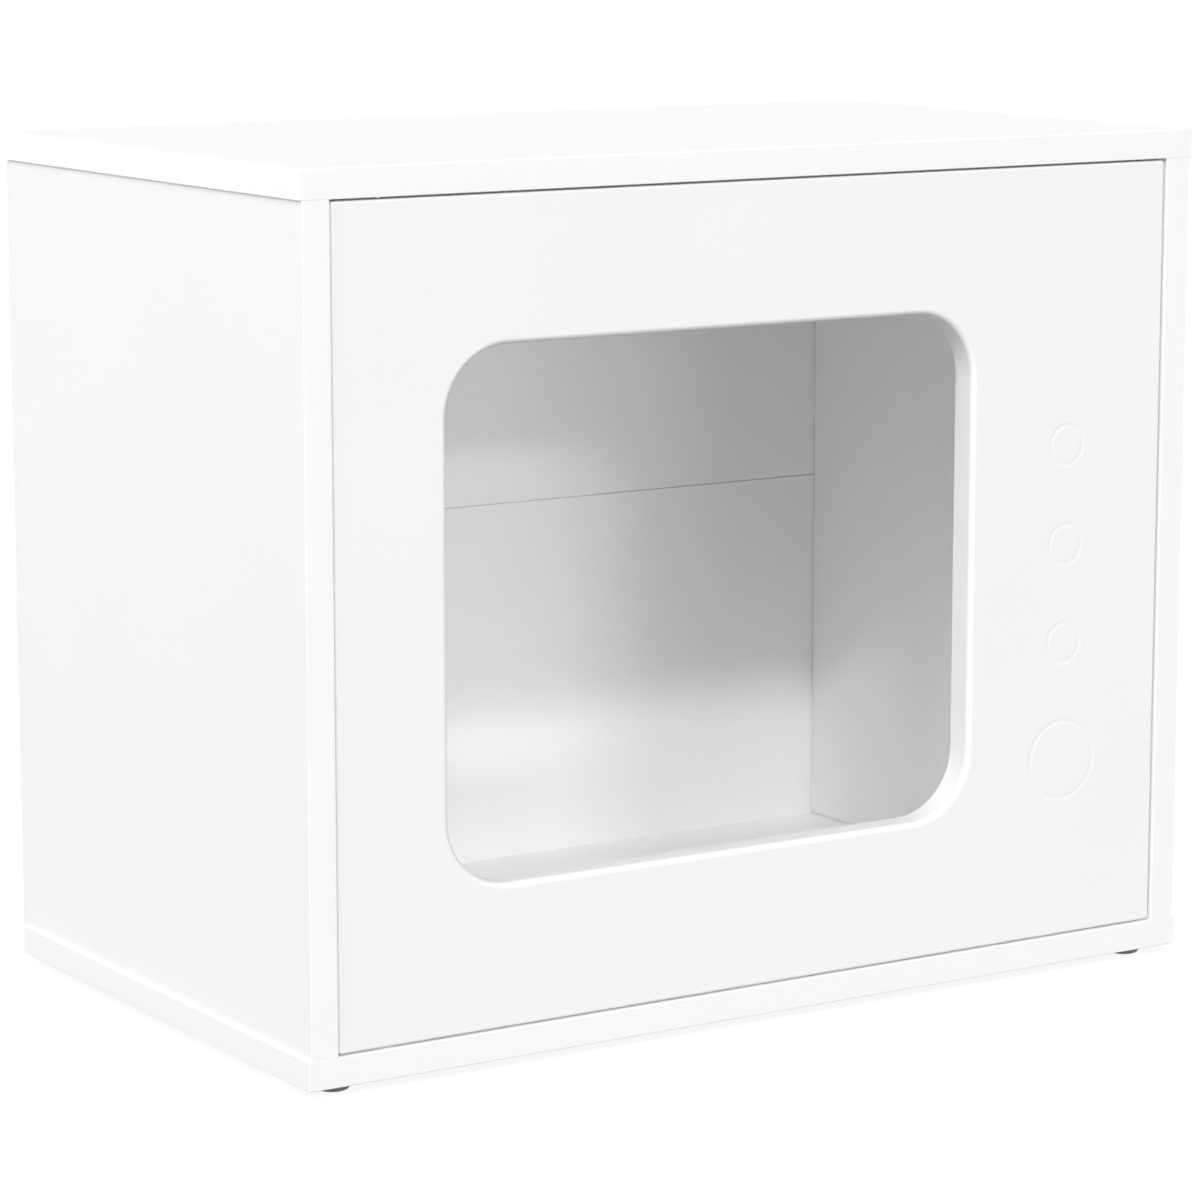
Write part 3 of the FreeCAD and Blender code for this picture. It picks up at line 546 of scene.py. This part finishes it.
def corner_joints(piece, inner, inward, low, high):
    """Fine dark joints inside, where a side board meets the back boards, the top and the bottom."""
    _, door_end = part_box("door_panel")
    near, far = sorted((inner - inward * JOINT_DEPTH, inner + inward * OVERRUN))
    for end in (low.z, high.z):
        cut(piece, block("joint", Vector((near, door_end.y, end - CORNER_JOINT)),
                         Vector((far, high.y + OVERRUN, end + CORNER_JOINT))))
    cut(piece, block("joint", Vector((near, high.y - CORNER_JOINT, low.z - OVERRUN)),
                     Vector((far, high.y + OVERRUN, high.z + OVERRUN))))


def side_boards():
    """The side boards, with the pockets that the cams sit in on their inner faces."""
    cams = solids_of("cam_discs")
    for name, inward in (("left_side_panel", 1), ("right_side_panel", -1)):
        low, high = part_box(name)
        inner = high.x if inward > 0 else low.x
        piece = banded_board(name, X, lambda ends: runs(ends, Z))
        corner_joints(piece, inner, inward, low, high)
        for cam_low, cam_high in cams:
            centre = (cam_low + cam_high) / 2
            if centre.x * inward > 0:
                continue
            mouth = Vector((inner, centre.y, centre.z))
            depth = Vector((inward * CAM_POCKET_DEPTH, 0, 0))
            lift = Vector((inward * OVERRUN, 0, 0))
            cut(piece, rod("pocket", mouth - depth, mouth + lift, CAM_POCKET / 2, CAM_POCKET / 2))
        finish(piece, name)


def back_boards():
    """Two thin boards with a fine joint between them, open to the inside and closed at the back."""
    joint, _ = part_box("back_panel_upper")
    for name in ("back_panel_lower", "back_panel_upper"):
        low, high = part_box(name)
        piece = block(name + "_board", low, high)
        piece.data.materials.append(HARDBOARD)
        round_edges(piece, lambda ends: level(ends, Z, joint.z) and level(ends, Y, high.y), JOINT_ARRIS,
                    ARRIS_STEPS)
        round_edges(piece, lambda ends: not any(abs(end.z - joint.z) < OVERRUN for end in ends), BACK_ARRIS,
                    ARRIS_STEPS)
        cut(piece, block("joint", Vector((low.x - OVERRUN, low.y - OVERRUN, joint.z - JOINT_WIDTH / 2)),
                         Vector((high.x + OVERRUN, low.y + JOINT_DEPTH, joint.z + JOINT_WIDTH / 2))))
        finish(piece, name)


# Door


def entrance_cutter(low, high):
    """A block through the door with round corners, as large as the entrance."""
    left = low.x + HINGE_STILE
    sill = (low.z + high.z - ENTRANCE_HEIGHT) / 2
    cutter = block("entrance", Vector((left, low.y - OVERRUN, sill)),
                   Vector((left + ENTRANCE_WIDTH, high.y + OVERRUN, sill + ENTRANCE_HEIGHT)))
    round_edges(cutter, lambda ends: runs(ends, Y), ENTRANCE_RADIUS, ENTRANCE_STEPS)
    return cutter


def ring_cutter(centre, diameter):
    """A ring of diamond section, half of which lies below the door's front face."""
    bpy.ops.object.select_all(action="DESELECT")
    half_width = GROOVE_WIDTH / 2
    bpy.ops.mesh.primitive_torus_add(location=centre, rotation=(QUARTER_TURN, 0, 0),
                                     major_segments=RING_SIDES, minor_segments=V_SIDES,
                                     major_radius=diameter / 2, minor_radius=half_width)
    bpy.context.active_object.scale = (1, 1, GROOVE_DEPTH / half_width)
    return settle("ring")


def crease_ring(piece, centre, diameter):
    """Keeps the lips and the bottom of a ring's groove crisp."""
    def along_groove(ends):
        near, far = sorted((end - centre).length for end in ends)
        return abs(far - diameter / 2) < GROOVE_WIDTH and far - near < GROOVE_DEPTH / 2

    edit(piece, "edges", along_groove)
    bpy.ops.mesh.mark_sharp()
    close_edit()


def door():
    """The front: foil round its face and edges, a soft rounded rim, the entrance and the engraved rings."""
    low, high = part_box("door_panel")
    piece = block("door_front", low, high)
    piece.data.materials.append(FOIL)
    cut(piece, entrance_cutter(low, high))

    def on_rim(point):
        across = min(abs(point.x - low.x), abs(point.x - high.x))
        up = min(abs(point.z - low.z), abs(point.z - high.z))
        return min(across, up) < HAIR

    def entrance_front(ends):
        return level(ends, Y, low.y) and not any(on_rim(end) for end in ends)

    def outer_rim(ends):
        return all(on_rim(end) for end in ends) and (level(ends, Y, low.y) or runs(ends, Y))

    round_edges(piece, entrance_front, ENTRANCE_ROUND, DOOR_STEPS)
    round_edges(piece, outer_rim, DOOR_ROUND, DOOR_STEPS)
    ring_x = (low.x + HINGE_STILE + ENTRANCE_WIDTH + high.x) / 2
    rise = (low.z + high.z) / 2 + TOP_RING_RISE
    rings = [(SMALL_RING, rise - count * SMALL_RING_PITCH) for count in range(SMALL_RINGS)]
    rings.append((LARGE_RING, rings[-1][1] - LARGE_RING_PITCH))
    for diameter, height in rings:
        centre = Vector((ring_x, low.y, height))
        cut(piece, ring_cutter(centre, diameter))
        crease_ring(piece, centre, diameter)
    for bush, end, way in (("lower_door_bush", low.z, 1), ("upper_door_bush", high.z, -1)):
        bush_low, bush_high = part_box(bush)
        centre = (bush_low + bush_high) / 2
        bore_end = bush_high.z if way > 0 else bush_low.z
        cut(piece, rod("bore", Vector((centre.x, centre.y, end - way * OVERRUN)),
                       Vector((centre.x, centre.y, bore_end)), PIVOT_BORE / 2, PIVOT_BORE / 2))
    finish(piece, "door_panel")


# Fittings


def dress_fittings():
    """Gives the fittings whose solids already have the right shape their finishes."""
    for node, material in FITTINGS.items():
        for slot in frame["nodes"][node].material_slots:
            slot.material = material


def screw(head, seat, height, shank, length, arris):
    """A fastener along Z with its head's face at zero.

    Head, seat and shank are radii, and the arris rounds the head's rim.
    """
    piece = rod("screw", Vector((0, 0, -height)), Vector(), seat, head)
    if arris:
        round_edges(piece, lambda ends: level(ends, Z, 0), arris, DOME_STEPS)
    edit(piece, "polygons", lambda corners: level(corners, Z, -height))
    if seat > shank:
        bpy.ops.mesh.inset(thickness=seat - shank)
    bpy.ops.mesh.extrude_region_move(TRANSFORM_OT_translate={"value": (0, 0, height + POINT_LENGTH - length)})
    bpy.ops.mesh.extrude_region_move(TRANSFORM_OT_translate={"value": (0, 0, -POINT_LENGTH)})
    bpy.ops.transform.resize(value=(POINT_SHARE, POINT_SHARE, 1))
    close_edit()
    return piece


def cross_recess(piece, head):
    """The cross that a driver fits, sunk into a screw's head."""
    long_half = head * CROSS_LENGTH_SHARE / 2
    short_half = head * CROSS_WIDTH_SHARE / 2
    for across, up in ((long_half, short_half), (short_half, long_half)):
        cut(piece, block("slot", Vector((-across, -up, -CROSS_DEPTH)), Vector((across, up, OVERRUN))))


def copies(name, node, model, places, turn, material):
    """Copies of a fastener, each with a mesh of its own, put in their places and joined as one piece."""
    model.data.materials.append(material)
    made = []
    for place in places:
        copy = model.copy()
        copy.data = model.data.copy()
        copy.location = place
        copy.rotation_euler = turn
        bpy.context.scene.collection.objects.link(copy)
        made.append(copy)
    bpy.data.objects.remove(model)
    only(made[0])
    for copy in made:
        copy.select_set(True)
    bpy.ops.object.join()
    finish(settle(name), node)


def length_of(node, axis):
    """How long each of a node's fasteners is."""
    low, high = solids_of(node)[0]
    return high[axis] - low[axis]


def nails():
    """Nails with slightly domed heads in the back boards."""
    nail = screw(NAIL_HEAD, NAIL_HEAD, NAIL_HEAD_HEIGHT, NAIL_SHANK, length_of("back_nails", Y), NAIL_DOME)
    copies("back_nail_set", "back_nails", nail, ends_of("back_nails", BACKWARDS),
           Euler((-QUARTER_TURN, 0, 0)), STEEL)


def foot_screws():
    """Screws with domed heads that hold the glides from below."""
    model = screw(FOOT_SCREW_HEAD, FOOT_SCREW_HEAD, FOOT_SCREW_HEAD_HEIGHT, FOOT_SCREW_SHANK,
                  length_of("foot_screws", Z), FOOT_SCREW_DOME)
    cross_recess(model, FOOT_SCREW_HEAD)
    copies("foot_screw_set", "foot_screws", model, ends_of("foot_screws", DOWNWARDS),
           Euler((2 * QUARTER_TURN, 0, 0)), STEEL)


def catch_screws():
    """Screws with low heads that hold the catch's lugs to the side board."""
    model = screw(CATCH_SCREW_HEAD, CATCH_SCREW_HEAD, CATCH_SCREW_HEAD_HEIGHT, CATCH_SCREW_SHANK,
                  length_of("catch_screws", X), CATCH_SCREW_DOME)
    cross_recess(model, CATCH_SCREW_HEAD)
    copies("catch_screw_set", "catch_screws", model, ends_of("catch_screws", LEFTWARDS),
           Euler((0, -QUARTER_TURN, 0)), STEEL)


def strike():
    """The steel plate on the door's inner face and its countersunk screw."""
    low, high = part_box("strike_plate")
    plate = block("strike", low, high)
    plate.data.materials.append(STEEL)
    round_edges(plate, lambda ends: runs(ends, Y), STRIKE_CORNER, CORNER_STEPS)
    round_edges(plate, lambda ends: level(ends, Y, high.y), STRIKE_ARRIS, ARRIS_STEPS)
    face = ends_of("strike_screw", BACKWARDS)[0]
    screw_low, screw_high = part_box("strike_screw")
    head = (screw_high.x - screw_low.x) / 2
    seat = head - STRIKE_SINK
    countersink(plate, face, FORWARDS, head + SINK_CLEARANCE, seat + SINK_CLEARANCE)
    finish(plate, "strike_plate")
    model = screw(head, seat, STRIKE_SINK, seat, length_of("strike_screw", Y), 0)
    cross_recess(model, head)
    copies("strike_screw_set", "strike_screw", model, [face], Euler((-QUARTER_TURN, 0, 0)), STEEL)


def catch_housing():
    """A moulded housing with two lugs, and the bay in its front that holds the magnet."""
    low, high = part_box("catch_housing")
    wall = high.x - LUG_HEIGHT
    piece = block("catch_body", Vector((wall, low.y, low.z)), high)
    piece.data.materials.append(ABS)
    for height in (low.z + LUG_LENGTH, high.z - LUG_LENGTH):
        edit(piece, "polygons", lambda corners: True)
        bpy.ops.mesh.bisect(plane_co=(0, 0, height), plane_no=(0, 0, 1))
        close_edit()
    middle = (low.z + high.z) / 2
    edit(piece, "polygons", lambda corners: level(corners, X, wall) and all(
        abs(corner.z - middle) < high.z - LUG_LENGTH - middle + HAIR for corner in corners))
    bpy.ops.mesh.extrude_region_move(TRANSFORM_OT_translate={"value": (low.x - wall, 0, 0)})
    close_edit()
    round_edges(piece, lambda ends: not level(ends, X, high.x) and not level(ends, X, wall), HOUSING_ROUND,
                CORNER_STEPS)
    bay = Vector((low.x + MAGNET_BAY_INSET, low.y - OVERRUN, middle - MAGNET_BAY.z / 2))
    bay_end = Vector((bay.x + MAGNET_BAY.x, low.y + MAGNET_BAY.y, middle + MAGNET_BAY.z / 2))
    cut(piece, block("bay", bay, bay_end))
    finish(piece, "catch_housing")


def feet():
    """Round glides with a soft rim and the recess that their screws sit in."""
    for row in ("front", "rear"):
        for hand in ("left", "right"):
            node = f"foot_{row}_{hand}"
            low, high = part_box(node)
            centre = (low + high) / 2
            radius = (high.x - low.x) / 2
            piece = rod(f"glide_{row}_{hand}", Vector((centre.x, centre.y, low.z)),
                        Vector((centre.x, centre.y, high.z)), radius, radius)
            piece.data.materials.append(GLIDE)
            edit(piece, "polygons", lambda corners: level(corners, Z, low.z))
            bpy.ops.mesh.inset(thickness=radius - FOOT_RECESS / 2)
            bpy.ops.mesh.extrude_region_move(TRANSFORM_OT_translate={"value": (0, 0, FOOT_RECESS_DEPTH)})
            close_edit()
            rim = radius - HAIR
            round_edges(piece, lambda ends: level(ends, Z, low.z) and all(
                (end.xy - centre.xy).length > rim for end in ends), FOOT_ROUND, FOOT_STEPS)
            finish(piece, node)


# Studio


def seen_directly(tree):
    """One for camera, glossy and transmission rays, zero for the rest."""
    path = add(tree, "ShaderNodeLightPath")
    gloss = add(tree, "ShaderNodeMath", {"operation": "MAXIMUM"},
                {0: path.outputs["Is Camera Ray"], 1: path.outputs["Is Glossy Ray"]})
    through = add(tree, "ShaderNodeMath", {"operation": "MAXIMUM"},
                  {0: gloss.outputs[0], 1: path.outputs["Is Transmission Ray"]})
    return through.outputs[0]


def white_background():
    """A world that is plain white to look at and in reflections, and a softer fill for everything else."""
    world = bpy.data.worlds.new("studio")
    bpy.context.scene.world = world
    world.use_nodes = True
    tree = world.node_tree
    tree.nodes.clear()
    seen = seen_directly(tree)
    white = add(tree, "ShaderNodeBackground", {"Color": WHITE, "Strength": 1.0})
    fill = add(tree, "ShaderNodeBackground", {"Color": WHITE, "Strength": FILL_LIGHT})
    mixed = add(tree, "ShaderNodeMixShader", links={0: seen, 1: fill.outputs[0], 2: white.outputs[0]})
    add(tree, "ShaderNodeOutputWorld", links={"Surface": mixed.outputs[0]})


def floor():
    """A pale matt floor, lifted to white where it is seen, that keeps the object's shadow."""
    bpy.ops.object.select_all(action="DESELECT")
    bpy.ops.mesh.primitive_plane_add(size=FLOOR_SIZE, location=(0, 0, cad_low.z))
    ground = settle("studio_floor")
    material = bpy.data.materials.new("pale_paper")
    material.use_nodes = True
    tree = material.node_tree
    tree.nodes.clear()
    paper = add(tree, "ShaderNodeBsdfDiffuse", {"Color": linear(FLOOR_COLOUR)})
    seen = seen_directly(tree)
    strength = add(tree, "ShaderNodeMath", {"operation": "MULTIPLY", 1: FLOOR_LIFT}, {0: seen})
    lift = add(tree, "ShaderNodeEmission", {"Color": WHITE}, {"Strength": strength.outputs[0]})
    both = add(tree, "ShaderNodeAddShader", links={0: paper.outputs[0], 1: lift.outputs[0]})
    add(tree, "ShaderNodeOutputMaterial", links={"Surface": both.outputs[0]})
    ground.data.materials.append(material)


def softbox(name, azimuth, elevation, width, height, light):
    """A far rectangular lamp: azimuth to the right from the front, and width and height as seen, in degrees.

    Its light is the level at which it alone shows a white surface that faces it.
    """
    lamp_data = bpy.data.lights.new(name, "AREA")
    lamp_data.shape = "RECTANGLE"
    lamp_data.size = 2 * LAMP_DISTANCE * tan(radians(width / 2))
    lamp_data.size_y = 2 * LAMP_DISTANCE * tan(radians(height / 2))
    lamp_data.energy = light * (pi * LAMP_DISTANCE) ** 2
    lamp = bpy.data.objects.new(name, lamp_data)
    turn = Euler((QUARTER_TURN - radians(elevation), 0, radians(azimuth)))
    lamp.rotation_euler = turn
    lamp.location = (cad_low + cad_high) / 2 + turn.to_matrix() @ Vector((0, 0, LAMP_DISTANCE))
    lamp.visible_camera = False
    bpy.context.scene.collection.objects.link(lamp)


def camera():
    """The photograph's view: from the left, a little above, with a long lens."""
    data = bpy.data.cameras.new("camera")
    data.sensor_width = SENSOR
    data.lens = LENS
    view = bpy.data.objects.new("camera", data)
    view.location = CAMERA_PLACE
    view.rotation_euler = (QUARTER_TURN - radians(CAMERA_PITCH), 0, -radians(CAMERA_AZIMUTH))
    bpy.context.scene.collection.objects.link(view)
    bpy.context.scene.camera = view


dress_fittings()
top_board()
bottom_board()
side_boards()
back_boards()
door()
nails()
foot_screws()
catch_screws()
strike()
catch_housing()
feet()
white_background()
floor()
for name, settings in SOFTBOXES.items():
    softbox(name, **settings)
camera()
bpy.context.scene.view_settings.view_transform = "Standard"
bpy.context.scene.cycles.diffuse_bounces = WALL_BOUNCES
